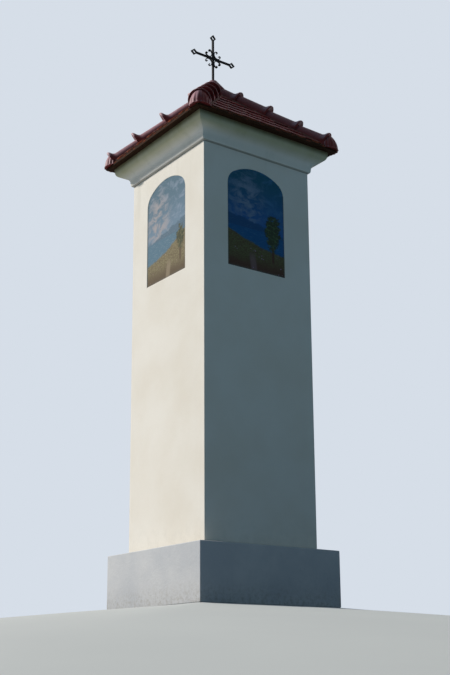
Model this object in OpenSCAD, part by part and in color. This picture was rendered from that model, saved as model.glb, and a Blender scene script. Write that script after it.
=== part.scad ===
/* [Pillar] */
// Width of the square plastered pillar
pillar_w = 1190; // [1000:10:1300]
// Height of the underside of the cornice above the ground
pillar_top = 4046; // [3700:1:4300]
// Width of the painted plinth
plinth_w = 1466; // [1400:2:1600]
// Height of the plinth
plinth_h = 507; // [350:1:600]
// Fall of the plinth's sloping top
plinth_weathering = 22; // [10:1:40]

/* [Paintings] */
// Width of an arched painting
painting_w = 634; // [500:2:700]
// Height of the painting's sill above the ground
painting_sill = 2938; // [2800:1:3000]
// Height of a painting from its sill to its crown
painting_h = 971; // [850:1:1000]
// How far a painting stands off the middle of its wall, towards its own left
painting_shift = 20; // [0:1:40]
// Radius of the arch at its two haunches
haunch_r = 150; // [110:5:170]
// Radius of the arch over its crown
crown_r = 470; // [380:10:600]
// Depth of the recess in the wall
recess = 40; // [30:1:60]
// How far a painted panel lies behind the wall's face
painting_setback = 12; // [5:1:25]

/* [Cornice] */
// Height of the plain band under the cove
band_h = 60; // [50:1:80]
// How far the band stands out from the pillar
band_out = 24; // [20:1:40]
// Radius of the cove
cove_r = 72; // [66:1:76]
// Height of the lip above the cove
lip_h = 66; // [60:1:72]
// How far the lip stands out past the cove
lip_out = 41; // [34:1:44]
// Radius of the lip's rounded lower edge
lip_round = 24; // [16:1:30]

/* [Roof] */
// Width over the tiles at the eaves
eaves_w = 1608; // [1590:2:1640]
// Height of the peak above the top edge of the tiles at the eaves
roof_rise = 740; // [600:10:800]
// How far the peak stands off the pillar's axis towards the left
peak_left = 43; // [0:1:60]
// How far the peak stands off the pillar's axis towards the back
peak_back = 43; // [0:1:60]
// Upright thickness of the tile layer at the eaves
tile_layer = 35; // [30:1:45]
// How far the tiles reach past the boards under the eaves
board_setback = 10; // [10:1:14]
// Thickness of the boards under the eaves
board_t = 24; // [20:1:26]
// Courses of tiles on each roof face
courses = 7; // [5:1:9]
// Height of the step at the tail of each course
course_step = 14; // [8:1:18]

/* [Hip tiles] */
// Length of each hip tile that shows
hip_gauge = 338; // [325:1:345]
// How much less of the lowest hip tile shows
hip_short = 33; // [0:1:40]
// Distance from the eaves' corner up the shortest hip to its first collar
hip_start = 103; // [95:1:110]
// Radius of a hip tile behind its collar
hip_wide_r = 94; // [90:1:96]
// Radius of a hip tile at its narrow end
hip_narrow_r = 78; // [72:1:84]
// Radius of a collar
collar_r = 100; // [99:1:104]
// How far a collar's centre lies above the tile's axis
collar_lift = 31; // [28:1:34]
// Thickness of a collar's rim
collar_t = 30; // [24:1:34]
// Radius of the shoulder behind a collar
shoulder_r = 96; // [95:1:98]
// How far the shoulder's centre lies above the tile's axis
shoulder_lift = 14; // [10:1:18]
// Length of the shoulder
shoulder_t = 24; // [16:1:30]
// Chamfer on the edges of a collar's rim
collar_edge = 5; // [3:1:8]
// Depth of a hip tile's axis below the line where two roof faces meet
hip_sink = 51; // [46:1:56]
// How far a hip tile's narrow end runs into the next tile's socket
hip_lap = 40; // [20:1:60]

/* [Shell starters] */
// Number of ribs on a shell
shell_ribs = 9; // [5:2:13]
// Depth of the grooves between the ribs
shell_groove = 6; // [4:1:12]
// Distance of a shell's centre from the eaves' corner
shell_inset = 127; // [120:1:135]
// Half width of a shell at its foot
shell_half_w = 100; // [90:1:110]
// Forward reach of a shell from its centre
shell_reach = 126; // [110:1:135]
// Height of a shell's full form
shell_h = 176; // [150:1:180]
// How far the foot of a shell turns out
shell_lip = 6; // [2:1:8]

/* [Peak cap] */
// Radius of the flat top of the cap
cap_top_r = 38; // [30:1:50]
// Radius of the cap at its foot
cap_foot_r = 122; // [115:1:125]
// Height of the cap's top above the peak of the tiled faces
cap_rise = 66; // [60:1:80]
// Height of the cap's sloping side
cap_h = 109; // [90:1:130]
// Height of the cap's round foot between its arms
cap_skirt = 40; // [30:1:60]

/* [Cross] */
// Height of the cross from the cap's top to its upper tip
cross_h = 510; // [400:1:600]
// Half width of the cross from its shaft to a side tip
cross_half = 260; // [220:1:300]
// Depth to which the shaft is let into the cap
shaft_bury = 60; // [40:1:70]
// Width of the flat iron bars as seen from the front
bar_w = 18; // [14:1:24]
// Thickness of the flat iron bars
bar_t = 14; // [10:1:16]
// Half length of a diamond end
diamond_half = 36; // [30:1:42]
// Half height of a diamond end
diamond_side = 31; // [26:1:36]
// Width of the iron round a diamond end
diamond_bar = 10; // [8:1:12]
// Outer radius of a scroll's back
scroll_r = 41; // [34:1:46]
// Radius of a scroll's curled ends
curl_r = 12; // [10:1:14]
// Thickness of the scroll iron
scroll_t = 6; // [4:1:7]
// Depth of the scroll iron
scroll_d = 12; // [8:1:14]

/* [Hidden] */
$fn = 96;
// Length that reaches right across the roof, for blocks that cut it
cover = 3000;
// Play between parts that fit into each other
gap = 1;

// Steps in each haunch of a painting's arch
arch_steps = 10;
// How far the tile layer hangs down over the edge of the boards
tile_drop = 8;

// Corners of the roof that the hips rise from: near, right, left and back
hip_dirs = [[-1, -1], [1, -1], [-1, 1], [1, 1]];
// Hip tiles between a shell and the cap
hip_tiles = 3;
// Half width of the wedge that beds a hip tile
wedge_half = 400;

// Fullness of a shell's profile, 1 for an ellipse and less for a boxier dome
shell_fullness = 0.77;
shell_rings = 8;
rib_steps = 8;

iron = [0.07, 0.07, 0.08];
// Direction in which a scroll's back points, and its turn to either side
scroll_back = 225;
scroll_sweep = 115;
scroll_steps = 23;
curl_sweep = 200;
curl_steps = 10;

half = pillar_w / 2;
cove_bottom = pillar_top + band_h;
cornice_top = cove_bottom + cove_r + lip_h;
cornice_half = half + band_out + cove_r + lip_out;

eave = eaves_w / 2;
board_top = cornice_top + board_t;
tile_foot = board_top - tile_drop;
eave_z = tile_foot + tile_layer;
peak = [-peak_left, peak_back];
peak_z = eave_z + roof_rise;
core_peak_z = peak_z - tile_layer;
board_half = eave - board_setback;

cap_top = peak_z + cap_rise;
cross_z = cap_top + cross_h - cross_half;

// Plastered masonry

module plinth() {
    color([0.76, 0.76, 0.77])
    difference() {
        translate([0, 0, plinth_h / 2])
            cube([plinth_w, plinth_w, plinth_h], center = true);
        for (turn = [0:90:270])
            rotate([0, 0, turn]) weathering_cut();
    }
}

// The wedge taken off one side of the plinth so that its top sheds water
module weathering_cut() {
    ledge = (plinth_w - pillar_w) / 2;
    rotate([90, 0, 90])
        linear_extrude(plinth_w + 2, center = true)
            polygon([
                [half, plinth_h],
                [half + ledge + 1, plinth_h - plinth_weathering],
                [half + ledge + 1, plinth_h + 1],
                [half, plinth_h + 1]
            ]);
}

module pillar() {
    color([0.93, 0.91, 0.87])
    difference() {
        translate([-half, -half, plinth_h])
            cube([pillar_w, pillar_w, pillar_top - plinth_h]);
        for (turn = [0:90:270])
            rotate([0, 0, turn])
                arched_slab(recess, 0, 1);
    }
}

// Points of an arc from one angle to another, without its first point unless skip is 0
function arc_points(centre, r, from, to, steps, skip = 1) = [
    for (i = [skip:steps])
        let (a = from + (to - from) * i / steps)
            centre + r * [cos(a), sin(a)]
];

// Outline of a painting, a three-centred arch over straight sides
module arch_outline() {
    side = painting_w / 2;
    haunch_x = side - haunch_r;
    crown_y = painting_h - crown_r;
    haunch_y = crown_y + sqrt(pow(crown_r - haunch_r, 2) - pow(haunch_x, 2));
    lean = acos(haunch_x / (crown_r - haunch_r));
    polygon(concat(
        [[-side, 0], [side, 0], [side, haunch_y]],
        arc_points([haunch_x, haunch_y], haunch_r, 0, lean, arch_steps),
        arc_points([0, crown_y], crown_r, lean, 180 - lean, 2 * arch_steps),
        arc_points([-haunch_x, haunch_y], haunch_r, 180 - lean, 180, arch_steps)
    ));
}

// Arched slab in the front wall, from `front` behind its face to `depth`
module arched_slab(depth, front, extra) {
    translate([-painting_shift, -half + depth, painting_sill])
        rotate([90, 0, 0])
            linear_extrude(depth - front + extra)
                arch_outline();
}

module painting(turn, tint) {
    color(tint)
        rotate([0, 0, turn])
            arched_slab(recess, painting_setback, 0);
}

module painting_front() { painting(0, [0.20, 0.33, 0.45]); }
module painting_right() { painting(90, [0.24, 0.38, 0.48]); }
module painting_back() { painting(180, [0.20, 0.33, 0.45]); }
module painting_left() { painting(270, [0.36, 0.52, 0.60]); }

module cornice_band() {
    color([0.92, 0.90, 0.86])
        translate([0, 0, pillar_top + band_h / 2])
            cube([pillar_w + 2 * band_out, pillar_w + 2 * band_out, band_h], center = true);
}

// The moulding's full-width section, mitred by crossing it with itself
module cornice_cove() {
    color([0.80, 0.80, 0.76])
    intersection() {
        cove_run(0);
        cove_run(90);
    }
}

module cove_run(turn) {
    rotate([90, 0, turn])
        linear_extrude(2 * cornice_half + 2, center = true)
            cove_section();
}

// Hollow cove under a plain lip whose lower edge is rounded
module cove_section() {
    foot = half + band_out;
    lip_foot = cove_bottom + cove_r;
    difference() {
        translate([-cornice_half, cove_bottom])
            square([2 * cornice_half, cornice_top - cove_bottom]);
        for (s = [-1, 1]) {
            translate([s * (foot + cove_r), cove_bottom])
                circle(cove_r);
            translate([s * (foot + cove_r + cover / 2), cove_bottom + cove_r / 2])
                square([cover, cove_r], center = true);
            translate([s * cornice_half, lip_foot])
                square(2 * lip_round, center = true);
        }
    }
    for (s = [-1, 1])
        translate([s * (cornice_half - lip_round), lip_foot + lip_round])
            circle(lip_round);
}

// Roof

// Solid pyramid over a square with its peak off the middle
module pyramid(side, foot_z, top_z) {
    polyhedron(
        points = [
            [-side, -side, foot_z], [side, -side, foot_z],
            [side, side, foot_z], [-side, side, foot_z],
            [peak[0], peak[1], top_z]
        ],
        faces = [[0, 1, 2, 3], [0, 4, 1], [1, 4, 2], [2, 4, 3], [3, 4, 0]]
    );
}

module eaves_boards() {
    color([0.24, 0.13, 0.10])
        translate([0, 0, cornice_top + board_t / 2])
            cube([2 * board_half, 2 * board_half, board_t], center = true);
}

module roof_core() {
    color([0.45, 0.36, 0.30])
    intersection() {
        pyramid(eave, tile_foot, core_peak_z);
        translate([-eave, -eave, board_top])
            cube([eaves_w, eaves_w, roof_rise]);
    }
}

// Stepped section of a roof face, `run` deep in plan from the eaves to the peak
module course_section(run) {
    gauge = run / courses;
    rise = roof_rise / courses;
    steps = [
        for (i = [0:courses - 1])
            for (p = [
                [i * gauge, eave_z + i * rise],
                [(i + 1) * gauge, eave_z + (i + 1) * rise - course_step]
            ]) p
    ];
    polygon(concat([[0, tile_foot]], steps, [[run, core_peak_z]]));
}

// The peak in plan as it lies for the face that `turn` brings round to the front
function turned_peak(turn) = [
    peak[0] * cos(turn) + peak[1] * sin(turn),
    peak[1] * cos(turn) - peak[0] * sin(turn)
];

// One roof face: its section run along the eaves and mitred at both hips
module roof_face(turn) {
    tip = turned_peak(turn);
    color([0.50, 0.19, 0.15])
    rotate([0, 0, turn])
    intersection() {
        translate([-eave, -eave, 0])
            rotate([90, 0, 90])
                linear_extrude(eaves_w)
                    course_section(eave + tip[1]);
        linear_extrude(2 * peak_z)
            polygon([[-eave, -eave], [eave, -eave], tip]);
    }
}

module roof_face_front() { roof_face(0); }
module roof_face_right() { roof_face(90); }
module roof_face_back() { roof_face(180); }
module roof_face_left() { roof_face(270); }

// The roof as a plain block that hip tiles and shells are cut to
module roof_block() {
    pyramid(eave, eave_z, peak_z);
    translate([-eave, -eave, tile_foot])
        cube([eaves_w, eaves_w, tile_layer]);
}

// Level run of a hip from its corner to the peak
function hip_run(dir) = [peak[0] - dir[0] * eave, peak[1] - dir[1] * eave];
function hip_slope(dir) = atan(roof_rise / norm(hip_run(dir)));
function hip_heading(dir) = atan2(hip_run(dir)[1], hip_run(dir)[0]);

function hip_length(dir) = norm([norm(hip_run(dir)), roof_rise]);

// Distance up a hip to a collar; the longer hips have a quarter of their extra length at the foot
shortest_hip = min([for (dir = hip_dirs) hip_length(dir)]);
function collar_at(dir, i) =
    hip_start + (hip_length(dir) - shortest_hip) / 4 + i * hip_gauge - (i > 0 ? hip_short : 0);

// Moves a child from a straight line along X onto a hip, uphill from its corner
module on_hip(dir) {
    translate([dir[0] * eave, dir[1] * eave, eave_z])
        rotate([0, -hip_slope(dir), hip_heading(dir)])
            children();
}

// Fall across a hip of the roof face whose level normal is `out`
function fall_across(dir, out) =
    let (
        run = abs(hip_run(dir) * out),
        h = hip_heading(dir),
        s = hip_slope(dir),
        side = roof_rise * (out[1] * cos(h) - out[0] * sin(h)),
        up = run * cos(s) - roof_rise * sin(s) * (out[0] * cos(h) + out[1] * sin(h))
    )
        -side / up;

// The two roof faces beside a hip as one long wedge under its line
module hip_wedge(dir) {
    falls = [fall_across(dir, [dir[0], 0]), fall_across(dir, [0, dir[1]])];
    left_fall = max(falls);
    right_fall = min(falls);
    on_hip(dir)
        translate([-wedge_half, 0, 0])
            rotate([90, 0, 90])
                linear_extrude(cover)
                    polygon([
                        [0, 0], [-wedge_half, -wedge_half * left_fall],
                        [-wedge_half, -2 * wedge_half], [wedge_half, -2 * wedge_half],
                        [wedge_half, wedge_half * right_fall]
                    ]);
}

// Radius of a hip tile at a distance uphill from its collar
function hip_r(s) =
    let (shank = collar_t + shoulder_t)
        hip_wide_r - (hip_wide_r - hip_narrow_r) * (s - shank) / (hip_gauge + hip_lap - shank);

// Half section of a barrel that runs uphill from a collar to `length`
module barrel_section(length) {
    shank = collar_t + shoulder_t;
    polygon([[0, 0], [hip_wide_r, 0], [hip_wide_r, shank], [hip_r(length), length], [0, length]]);
}

// Half section of a collar's rim, with chamfered edges
module rim_section() {
    polygon([
        [0, 0], [collar_r - collar_edge, 0], [collar_r, collar_edge],
        [collar_r, collar_t - collar_edge], [collar_r - collar_edge, collar_t], [0, collar_t]
    ]);
}

// Space that the narrow end of the tile below takes up
module hip_socket() {
    polygon([
        [0, -1], [hip_r(hip_gauge) + gap, -1],
        [hip_r(hip_gauge + hip_lap) + gap, hip_lap + gap], [0, hip_lap + gap]
    ]);
}

// Turns a half section about a line `lift` above a hip tile's axis, its foot at the place of collar `i`
module round_on_hip(dir, i, lift = 0) {
    on_hip(dir)
        translate([collar_at(dir, i), 0, lift - hip_sink])
            rotate([0, 90, 0])
                rotate_extrude()
                    children();
}

// Collar and shoulder, round discs set off the tile's axis so that they thin out towards the roof
module collar(dir, i) {
    round_on_hip(dir, i, collar_lift)
        rim_section();
    round_on_hip(dir, i, shoulder_lift)
        square([shoulder_r, collar_t + shoulder_t]);
}

// Hip tile `i` counted from the eaves, bedded on the roof
module hip_tile(dir, i) {
    color([0.52, 0.20, 0.16])
    difference() {
        union() {
            collar(dir, i);
            round_on_hip(dir, i)
                barrel_section(hip_gauge + hip_lap - (i > 0 ? 0 : hip_short));
        }
        if (i > 0)
            round_on_hip(dir, i)
                hip_socket();
        hip_wedge(dir);
        if (i == 0)
            translate([-cover, -cover, tile_foot - cover])
                cube([2 * cover, 2 * cover, cover]);
    }
}

// Radius of a shell in plan at an angle from its front, with a groove between ribs
function shell_r(angle, lift) =
    let (c = cos(angle) / shell_reach, s = sin(angle) / shell_half_w)
        1 / sqrt(c * c + s * s) - shell_groove * (1 - abs(cos(shell_ribs * angle))) * (1 - lift);

// Ribbed dome with a turned-out foot, standing at the origin with its front towards +X
module shell_dome() {
    spokes = rib_steps * shell_ribs;
    foot_h = 2 * shell_lip;
    points = [
        for (j = [0:shell_rings - 1])
            let (
                rise = 90 * max(j - 1, 0) / (shell_rings - 1),
                across = pow(cos(rise), shell_fullness),
                up = pow(sin(rise), shell_fullness),
                z = j == 0 ? 0 : foot_h + (shell_h - foot_h) * up
            )
            for (k = [0:spokes - 1])
                let (
                    angle = 360 * k / spokes,
                    r = shell_r(angle, up) * across + (j == 0 ? shell_lip : 0)
                )
                    [r * cos(angle), r * sin(angle), z]
    ];
    top = shell_rings * spokes;
    faces = concat(
        [[for (k = [0:spokes - 1]) k]],
        [
            for (j = [0:shell_rings - 2])
                for (k = [0:spokes - 1])
                    let (a = j * spokes + k, b = j * spokes + (k + 1) % spokes)
                        for (f = [[a, a + spokes, b], [b, a + spokes, b + spokes]]) f
        ],
        [for (k = [0:spokes - 1]) [top - spokes + k, top, top - spokes + (k + 1) % spokes]]
    );
    polyhedron(points = concat(points, [[0, 0, shell_h]]), faces = faces);
}

// Shell that closes the foot of a hip under the first collar
module hip_shell(dir) {
    color([0.50, 0.18, 0.14])
    difference() {
        translate([dir[0] * eave, dir[1] * eave, tile_foot])
            rotate([0, 0, atan2(dir[1], dir[0])])
                translate([-shell_inset, 0, 0])
                    shell_dome();
        roof_block();
        on_hip(dir)
            translate([collar_at(dir, 0), -cover / 2, -cover / 2])
                cube([cover, cover, cover]);
    }
}

module hip_shell_near() { hip_shell(hip_dirs[0]); }
module hip_shell_right() { hip_shell(hip_dirs[1]); }
module hip_shell_left() { hip_shell(hip_dirs[2]); }
module hip_shell_back() { hip_shell(hip_dirs[3]); }

// One arm of the cap, a round tile from the last collar up to the peak
module cap_arm(dir) {
    length = hip_length(dir) - collar_at(dir, hip_tiles);
    difference() {
        union() {
            collar(dir, hip_tiles);
            round_on_hip(dir, hip_tiles)
                square([hip_wide_r, length]);
        }
        round_on_hip(dir, hip_tiles)
            hip_socket();
    }
}

// Four-armed cap over the peak, with a flat-topped cone where the arms meet
module peak_cap() {
    foot_z = cap_top - cap_h;
    color([0.46, 0.17, 0.14])
    difference() {
        union() {
            for (dir = hip_dirs) cap_arm(dir);
            translate([peak[0], peak[1], 0])
                rotate_extrude()
                    polygon([
                        [0, foot_z - cap_skirt], [cap_foot_r, foot_z - cap_skirt],
                        [cap_foot_r, foot_z], [cap_top_r, cap_top], [0, cap_top]
                    ]);
        }
        pyramid(eave, eave_z, peak_z);
        translate([peak[0], peak[1], cap_top - shaft_bury / 2])
            cube([bar_w, bar_t, shaft_bury + gap], center = true);
    }
}

// Iron cross

// Places a child drawn flat, X across and Y up, upright over the peak
module on_cross() {
    translate([peak[0], peak[1], cross_z])
        rotate([90, 0, 0])
            children();
}

// The shaft and the bar are halved into each other where they cross
module cross_shaft() {
    foot = cross_z - cap_top + shaft_bury;
    color(iron)
    on_cross()
    difference() {
        translate([-bar_w / 2, -foot, -bar_t / 2])
            cube([bar_w, foot + cross_half - diamond_half, bar_t]);
        translate([0, 0, bar_t / 2])
            cube([2 * bar_w, bar_w, bar_t], center = true);
        diamond_block(90);
    }
}

module cross_bar() {
    reach = cross_half - diamond_half;
    color(iron)
    on_cross()
    difference() {
        cube([2 * reach, bar_w, bar_t], center = true);
        translate([0, 0, -bar_t / 2])
            cube([bar_w, 2 * bar_w, bar_t], center = true);
        for (a = [0, 180])
            diamond_block(a);
    }
}

// Solid diamond with its outer tip at the cross's reach
module diamond_block(angle) {
    rotate([0, 0, angle])
        translate([cross_half - diamond_half, 0, 0])
            linear_extrude(2 * bar_t, center = true)
                diamond(1);
}

// Diamond outline, `share` of its full size
module diamond(share) {
    polygon([
        [-diamond_half * share, 0], [0, -diamond_side * share],
        [diamond_half * share, 0], [0, diamond_side * share]
    ]);
}

// Open diamond that ends an arm
module cross_end(angle) {
    inner = 1 - diamond_bar * norm([diamond_half, diamond_side]) / (diamond_half * diamond_side);
    color(iron)
    on_cross()
        rotate([0, 0, angle])
            translate([cross_half - diamond_half, 0, 0])
                linear_extrude(bar_t, center = true)
                    difference() {
                        diamond(1);
                        diamond(inner);
                    }
}

module cross_end_top() { cross_end(90); }
module cross_end_left() { cross_end(180); }
module cross_end_right() { cross_end(0); }

// One edge of a scroll's bar, `inset` inside its outer edge: a curl, the back and a curl
function scroll_edge(inset) =
    let (
        first = scroll_back - scroll_sweep,
        last = scroll_back + scroll_sweep,
        out = scroll_r - curl_r
    )
        concat(
            arc_points(
                out * [cos(first), sin(first)], curl_r - inset,
                first - curl_sweep, first, curl_steps, 0
            ),
            arc_points([0, 0], scroll_r - inset, first, last, scroll_steps),
            arc_points(
                out * [cos(last), sin(last)], curl_r - inset,
                last, last + curl_sweep, curl_steps
            )
        );

// Scroll open to the upper right, its back against the shaft and the bar
module scroll() {
    outer = scroll_edge(0);
    inner = scroll_edge(scroll_t);
    linear_extrude(scroll_d, center = true)
        polygon(concat(outer, [for (i = [len(inner) - 1:-1:0]) inner[i]]));
}

module cross_scrolls() {
    offset_xy = bar_w / 2 + scroll_r;
    color(iron)
    on_cross()
        for (turn = [0:90:270])
            rotate([0, 0, turn])
                translate([offset_xy, offset_xy, 0])
                    scroll();
}

plinth();
pillar();
painting_front();
painting_right();
painting_back();
painting_left();
cornice_band();
cornice_cove();
eaves_boards();
roof_core();
roof_face_front();
roof_face_right();
roof_face_back();
roof_face_left();
hip_shell_near();
hip_shell_right();
hip_shell_left();
hip_shell_back();
hip_tile(hip_dirs[0], 0);  // hip_tile_near_1
hip_tile(hip_dirs[0], 1);  // hip_tile_near_2
hip_tile(hip_dirs[0], 2);  // hip_tile_near_3
hip_tile(hip_dirs[1], 0);  // hip_tile_right_1
hip_tile(hip_dirs[1], 1);  // hip_tile_right_2
hip_tile(hip_dirs[1], 2);  // hip_tile_right_3
hip_tile(hip_dirs[2], 0);  // hip_tile_left_1
hip_tile(hip_dirs[2], 1);  // hip_tile_left_2
hip_tile(hip_dirs[2], 2);  // hip_tile_left_3
hip_tile(hip_dirs[3], 0);  // hip_tile_back_1
hip_tile(hip_dirs[3], 1);  // hip_tile_back_2
hip_tile(hip_dirs[3], 2);  // hip_tile_back_3
peak_cap();
cross_shaft();
cross_bar();
cross_scrolls();
cross_end_top();
cross_end_left();
cross_end_right();
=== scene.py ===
import math
import random

import bmesh
import bpy
from mathutils import Matrix, Vector, noise


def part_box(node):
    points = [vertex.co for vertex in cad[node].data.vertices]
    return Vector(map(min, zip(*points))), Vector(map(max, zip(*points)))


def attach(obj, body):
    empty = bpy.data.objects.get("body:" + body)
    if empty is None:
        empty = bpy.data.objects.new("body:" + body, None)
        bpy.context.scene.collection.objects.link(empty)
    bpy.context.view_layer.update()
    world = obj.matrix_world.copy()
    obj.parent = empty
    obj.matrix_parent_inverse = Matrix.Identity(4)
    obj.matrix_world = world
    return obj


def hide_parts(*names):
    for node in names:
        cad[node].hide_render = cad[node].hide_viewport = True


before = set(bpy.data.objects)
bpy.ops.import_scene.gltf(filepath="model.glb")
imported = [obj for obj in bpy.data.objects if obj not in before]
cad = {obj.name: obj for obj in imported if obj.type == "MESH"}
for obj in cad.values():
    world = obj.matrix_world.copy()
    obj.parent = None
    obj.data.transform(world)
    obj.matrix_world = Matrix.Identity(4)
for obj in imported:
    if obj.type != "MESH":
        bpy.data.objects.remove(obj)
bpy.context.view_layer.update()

# Sizes of the masonry and the roof, read from the frame

SIDES = ("front", "right", "back", "left")
CORNERS = {"near": (-1, -1), "right": (1, -1), "back": (1, 1), "left": (-1, 1)}

_, pillar_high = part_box("pillar")
_, plinth_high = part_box("plinth")
boards_low, boards_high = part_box("eaves_boards")
_, core_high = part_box("roof_core")
face_low, face_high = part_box("roof_face_front")
panel_low, panel_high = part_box("painting_front")
shaft_low, shaft_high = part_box("cross_shaft")
_, cap_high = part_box("peak_cap")

PILLAR_HALF = pillar_high.x
PLINTH_HALF = plinth_high.x
PLINTH_TOP = plinth_high.z
CORNICE_FOOT = pillar_high.z
CORNICE_TOP = boards_low.z
BOARDS_HALF = boards_high.x
EAVE = face_high.x
TILE_FOOT = face_low.z
PEAK = Vector(((shaft_low.x + shaft_high.x) / 2, (shaft_low.y + shaft_high.y) / 2, face_high.z))
TILE_LAYER = PEAK.z - core_high.z
EAVE_TOP = TILE_FOOT + TILE_LAYER
RISE = PEAK.z - EAVE_TOP


# Camera

EYE = Vector((-5.6993, -7.9660, -0.5727))
HEADING, PITCH, TILT = math.radians(35.80), math.radians(13.80), math.radians(-0.364)
LENS = 59.14
CENTRE_DROP = 0.1


def make_camera():
    """The photograph's camera. Heading turns from +Y towards +X."""
    ahead = Vector((
        math.sin(HEADING) * math.cos(PITCH), math.cos(HEADING) * math.cos(PITCH), math.sin(PITCH),
    ))
    level = Vector((math.cos(HEADING), -math.sin(HEADING), 0))
    upright = level.cross(ahead)
    across = math.cos(TILT) * level + math.sin(TILT) * upright
    up = math.cos(TILT) * upright - math.sin(TILT) * level
    data = bpy.data.cameras.new("camera")
    data.lens = LENS
    data.shift_y = CENTRE_DROP
    camera = bpy.data.objects.new("camera", data)
    turn = Matrix((across, up, -ahead)).transposed()
    camera.matrix_world = Matrix.Translation(EYE) @ turn.to_4x4()
    bpy.context.collection.objects.link(camera)
    bpy.context.scene.camera = camera


make_camera()


# Node trees written as expressions

def srgb(*levels):
    """Linear colour of three display levels from 0 to 255."""
    def linear(level):
        part = level / 255
        return part / 12.92 if part <= 0.04045 else ((part + 0.055) / 1.055) ** 2.4
    return (*map(linear, levels), 1)


class Value:
    """A number in a node tree. Arithmetic on it adds Math nodes to the tree."""

    def __init__(self, nodes, socket):
        self.nodes = nodes
        self.socket = socket

    def math(self, operation, *numbers):
        return self.nodes.node(
            "ShaderNodeMath", {"operation": operation}, dict(enumerate(numbers)),
        )

    def __add__(self, other):
        return self.math("ADD", self, other)

    def __radd__(self, other):
        return self.math("ADD", other, self)

    def __sub__(self, other):
        return self.math("SUBTRACT", self, other)

    def __rsub__(self, other):
        return self.math("SUBTRACT", other, self)

    def __mul__(self, other):
        return self.math("MULTIPLY", self, other)

    def __rmul__(self, other):
        return self.math("MULTIPLY", other, self)

    def __truediv__(self, other):
        return self.math("DIVIDE", self, other)

    def __rtruediv__(self, other):
        return self.math("DIVIDE", other, self)

    def __pow__(self, other):
        return self.math("POWER", self, other)

    def __mod__(self, other):
        return self.math("FLOORED_MODULO", self, other)

    def __abs__(self):
        return self.math("ABSOLUTE", self)

    def floor(self):
        return self.math("FLOOR", self)

    def sine(self):
        return self.math("SINE", self)

    def cosine(self):
        return self.math("COSINE", self)

    def least(self, other):
        return self.math("MINIMUM", self, other)

    def most(self, other):
        return self.math("MAXIMUM", self, other)

    def over(self, other):
        """1 where it is greater than the other and 0 elsewhere."""
        return self.math("GREATER_THAN", self, other)

    def step(self, start, end):
        """0 below start, 1 above end and smooth between them. Start may lie above end."""
        return self.nodes.node(
            "ShaderNodeMapRange", {"interpolation_type": "SMOOTHSTEP"},
            {"Value": self, "From Min": start, "From Max": end},
        )


class Nodes:
    """Adds nodes to one tree."""

    def __init__(self, tree):
        self.tree = tree
        tree.nodes.clear()

    def node(self, kind, settings, inputs, output=0):
        """Adds one node, sets it up, feeds its sockets and returns one of its outputs."""
        node = self.tree.nodes.new(kind)
        for name, setting in settings.items():
            setattr(node, name, setting)
        for key, value in inputs.items():
            self.feed(node.inputs[key], value)
        return Value(self, node.outputs[output])

    def feed(self, socket, value):
        """Links a value to a socket, or sets the socket to a number, a colour or a thing."""
        if isinstance(value, Value):
            self.tree.links.new(value.socket, socket)
        else:
            socket.default_value = value

    def point(self, x, y, z):
        """A point from three numbers."""
        return self.node("ShaderNodeCombineXYZ", {}, {0: x, 1: y, 2: z})

    def split(self, point):
        """The three numbers of a point."""
        node = self.tree.nodes.new("ShaderNodeSeparateXYZ")
        self.feed(node.inputs[0], point)
        return [Value(self, socket) for socket in node.outputs]

    def mix(self, share, first, second):
        """Colour between first and second."""
        return self.node("ShaderNodeMix", {"data_type": "RGBA"}, {
            0: share, 6: first, 7: second,
        }, 2)


class Finish(Nodes):
    """One material: a principled shader fed by nodes that read Object coordinates."""

    def __init__(self, name, **constants):
        self.material = bpy.data.materials.new(name)
        self.material.use_nodes = True
        super().__init__(self.material.node_tree)
        self.shader = self.tree.nodes.new("ShaderNodeBsdfPrincipled")
        output = self.tree.nodes.new("ShaderNodeOutputMaterial")
        self.tree.links.new(self.shader.outputs[0], output.inputs["Surface"])
        for socket, number in constants.items():
            self.shader.inputs[socket.replace("_", " ")].default_value = number
        self.place = self.node("ShaderNodeTexCoord", {}, {}, "Object")
        self.x, self.y, self.z = self.split(self.place)

    def noise(self, scale, detail=3, roughness=0.5, at=None, distortion=0.0):
        """Soft noise from 0 to 1, `scale` features a metre."""
        return self.node("ShaderNodeTexNoise", {}, {
            "Vector": at or self.place, "Scale": scale, "Detail": detail,
            "Roughness": roughness, "Distortion": distortion,
        })

    def cells(self, scale, at=None, feature="F1"):
        """Distance in a pattern of random cells."""
        return self.node("ShaderNodeTexVoronoi", {"feature": feature}, {
            "Vector": at or self.place, "Scale": scale,
        }, "Distance")

    def stretched(self, x, y, z, at=None):
        """The place with each axis scaled."""
        return self.node("ShaderNodeMapping", {}, {
            "Vector": at or self.place, "Scale": (x, y, z),
        })

    def attribute(self, name):
        """A number stored on the piece's points."""
        return self.node("ShaderNodeAttribute", {"attribute_name": name}, {}, "Fac")

    def facing(self):
        """How far the surface faces along x, y and z, from -1 to 1."""
        return self.split(self.node("ShaderNodeTexCoord", {}, {}, "Normal"))

    def relief(self, height, depth):
        """Bump of `height` from 0 to 1, `depth` metres deep."""
        bump = self.node("ShaderNodeBump", {}, {
            "Height": height, "Distance": depth, "Strength": 1.0,
        })
        self.feed(self.shader.inputs["Normal"], bump)

    def colour(self, value):
        self.feed(self.shader.inputs["Base Color"], value)

    def rough(self, value):
        self.feed(self.shader.inputs["Roughness"], value)

    def coat(self, value):
        self.feed(self.shader.inputs["Coat Weight"], value)


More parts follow.
